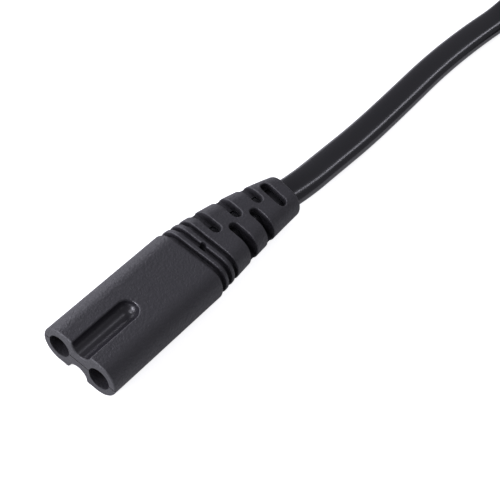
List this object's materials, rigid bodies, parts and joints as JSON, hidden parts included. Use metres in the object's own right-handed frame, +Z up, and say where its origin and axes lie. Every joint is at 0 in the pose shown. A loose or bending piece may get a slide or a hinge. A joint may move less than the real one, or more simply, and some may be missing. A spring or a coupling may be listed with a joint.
{
  "type": "figure eight power connector",
  "caption": "Flat moulded figure-eight mains connector with round contact holes, a waisted front and a slotted bending relief, on a flat twin cord.",
  "frame": {"origin": "under the middle of the moulded connector, on the surface it lies on", "axes": "+X from the mating face towards the cord, +Y to the left seen from behind the mating face, +Z up out of the flat top"},
  "size_m": [0.2565, 0.0597, 0.0268],
  "materials": {
    "moulded_pvc": "satin, fine mould grain",
    "plug_pvc": "satin, fine mould grain",
    "cord_sheath": "soft, semi-gloss",
    "tie_strap": "matt strap",
    "carrier_nylon": "matt",
    "contact_brass": "rolled strip",
    "pin_brass": "nickel-plated, bright",
    "pin_collar": "satin",
    "copper_strands": "bare copper",
    "core_brown": "soft, semi-gloss",
    "core_blue": "soft, semi-gloss"
  },
  "bodies": {
    "root": {"connector_body": "moulded_pvc", "cord": "cord_sheath", "cord_hank": "cord_sheath", "cord_tail": "cord_sheath", "hank_tie_left": "tie_strap", "hank_tie_right": "tie_strap", "contact_carrier": "carrier_nylon", "plug_bridge": "carrier_nylon", "contact_sleeve_left": "contact_brass", "contact_sleeve_right": "contact_brass", "plug_pin_left": "pin_brass", "plug_pin_right": "pin_brass", "plug_pin_collar_left": "pin_collar", "plug_pin_collar_right": "pin_collar", "conductor_brown": "copper_strands", "conductor_blue": "copper_strands", "plug_conductor_brown": "copper_strands", "plug_conductor_blue": "copper_strands", "core_brown": "core_brown", "plug_core_brown": "core_brown", "core_blue": "core_blue", "plug_core_blue": "core_blue", "plug_body": "plug_pvc"}
  },
  "joints": []
}
